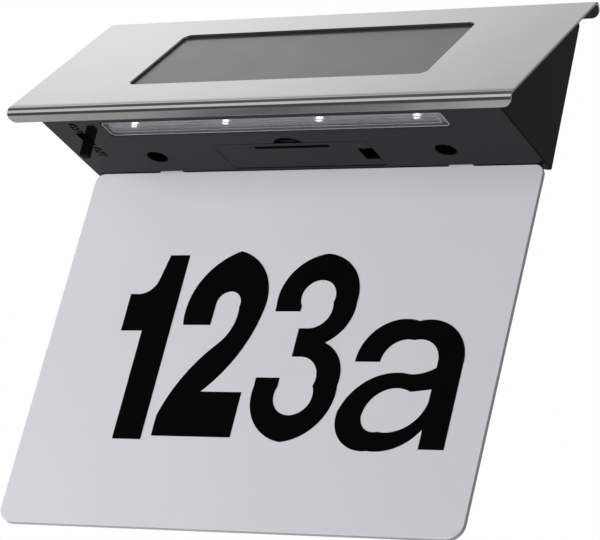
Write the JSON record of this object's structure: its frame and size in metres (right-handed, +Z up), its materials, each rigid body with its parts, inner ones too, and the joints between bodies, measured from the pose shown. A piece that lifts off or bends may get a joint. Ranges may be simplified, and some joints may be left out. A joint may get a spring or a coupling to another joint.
{
  "type": "illuminated house number sign",
  "caption": "Solar house number sign: folded steel roof with solar cell over a black lamp housing, white panel below with stick-on figures.",
  "frame": {"origin": "midway between the two keyhole entries, on the wall plane", "axes": "+X to the viewer's right, +Y into the wall, +Z up"},
  "size_m": [0.2, 0.0561, 0.2043],
  "materials": {
    "stainless": "brushed along the roof's length, polished over the folds",
    "foam_tape": "matt closed-cell foam",
    "solar_cell": "grey cell under clear resin, fine lines along X",
    "black_gloss": "glossy moulded ABS",
    "black_moulding": "satin moulded ABS",
    "white_acrylic": "glossy opal acrylic",
    "black_film": "self-adhesive film",
    "clear_lens": "clear moulded polystyrene",
    "circuit_board": "green solder mask",
    "white_board": "white solder mask",
    "led_white": "white package with yellow phosphor",
    "cell_sleeve": "shrink sleeve",
    "nickel": "nickel-plated sheet",
    "terminal_base": "phenolic board",
    "knob_black": "satin, ribbed",
    "zinc_screw": "zinc-plated",
    "chip_black": "moulded epoxy",
    "inductor_green": "lacquered",
    "lead_red": "PVC insulation"
  },
  "bodies": {
    "housing": {"roof_cover": "stainless", "roof_tapes": "foam_tape", "solar_cell": "solar_cell", "cell_pad": "foam_tape", "top_tray": "black_moulding", "housing_shell": "black_gloss", "rear_plate": "black_moulding", "number_panel": "white_acrylic", "number_1": "black_film", "number_2": "black_film", "number_3": "black_film", "letter_a": "black_film", "led_lens": "clear_lens", "led_board": "white_board", "leds": "led_white", "battery_cell": "cell_sleeve", "battery_contact_plus": "nickel", "battery_contact_minus": "nickel", "switch_frame": "nickel", "switch_base": "terminal_base", "control_board": "circuit_board", "board_screws": "zinc_screw", "controller_chip": "chip_black", "inductor": "inductor_green", "housing_screws": "zinc_screw", "rear_screws": "zinc_screw", "solar_leads": "lead_red", "led_leads": "lead_red", "battery_leads": "lead_red"},
    "battery_lid": {"battery_lid": "black_gloss"},
    "switch_knob": {"switch_knob": "knob_black"}
  },
  "joints": [
    {"name": "lid_hinge", "type": "hinge", "parent": "housing", "child": "battery_lid", "pos_m": [0, -0.0072, -0.0352], "axis": [1, 0, 0], "range_deg": [0, 80]},
    {"name": "switch_slide", "type": "slide", "parent": "housing", "child": "switch_knob", "axis": [0, 1, 0], "range_m": [-0.004, 0]}
  ]
}
